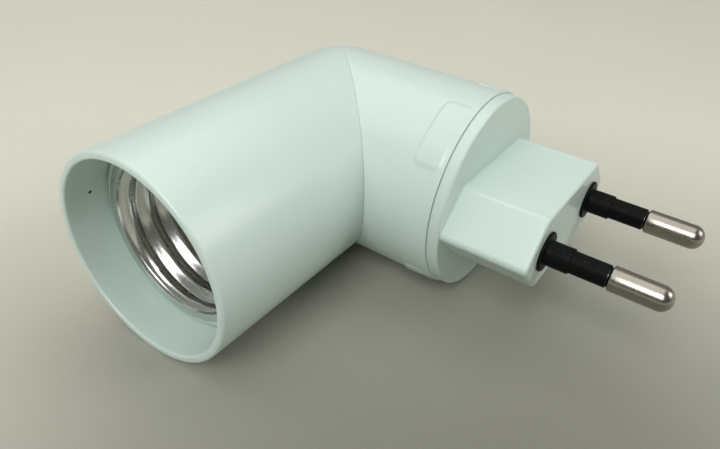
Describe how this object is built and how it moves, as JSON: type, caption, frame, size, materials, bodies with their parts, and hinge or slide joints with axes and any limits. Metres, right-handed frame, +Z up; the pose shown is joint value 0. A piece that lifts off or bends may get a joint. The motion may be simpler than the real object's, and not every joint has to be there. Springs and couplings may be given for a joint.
{
  "type": "plug-in lamp holder adapter",
  "caption": "Plug-in lamp holder: two-pin plug on a round barrel, swivel elbow cut at 45 degrees, lamp tube with a recessed aluminium screw shell.",
  "frame": {"origin": "centre of the plug's front face, between the two pins", "axes": "+X out along the pins, +Z up, and the lamp tube opens towards -Y at rest"},
  "size_m": [0.0824, 0.067, 0.0348],
  "materials": {
    "housing_plastic": "smooth moulded, soft gloss, white with a slight green cast",
    "plug_plastic": "smooth moulded, soft gloss",
    "pin_metal": "nickel plated, fine turning marks",
    "sleeve_plastic": "black moulded sleeve",
    "inner_plastic": "plain moulded",
    "insert_plastic": "hard moulded insulating material",
    "screw_steel": "zinc plated",
    "washer_steel": "spring steel",
    "shell_aluminium": "rolled sheet, bright",
    "contact_brass": "stamped sheet",
    "rivet_brass": "plain",
    "brown_wire_jacket": "extruded",
    "blue_wire_jacket": "extruded"
  },
  "bodies": {
    "plug_side": {"plug_barrel": "housing_plastic", "plug_cap": "plug_plastic", "left_pin": "pin_metal", "left_pin_sleeve": "sleeve_plastic", "right_pin": "pin_metal", "right_pin_sleeve": "sleeve_plastic", "pin_retainer": "inner_plastic", "retainer_screw": "screw_steel", "live_wire": "brown_wire_jacket", "neutral_wire": "blue_wire_jacket"},
    "lamp_side": {"lamp_housing": "housing_plastic", "swivel_washer": "washer_steel", "swivel_nut": "inner_plastic", "socket_insert": "insert_plastic", "insert_screws": "screw_steel", "screw_shell": "shell_aluminium", "centre_contact": "contact_brass", "live_terminal": "contact_brass", "neutral_terminal": "contact_brass", "contact_rivets": "rivet_brass"}
  },
  "joints": [
    {"name": "elbow_swivel", "type": "hinge", "parent": "plug_side", "child": "lamp_side", "pos_m": [-0.04585, 0, 0], "axis": [0.7071, 0.7071, 0], "range_deg": [0, 180], "deforming": ["live_wire", "neutral_wire"]}
  ]
}
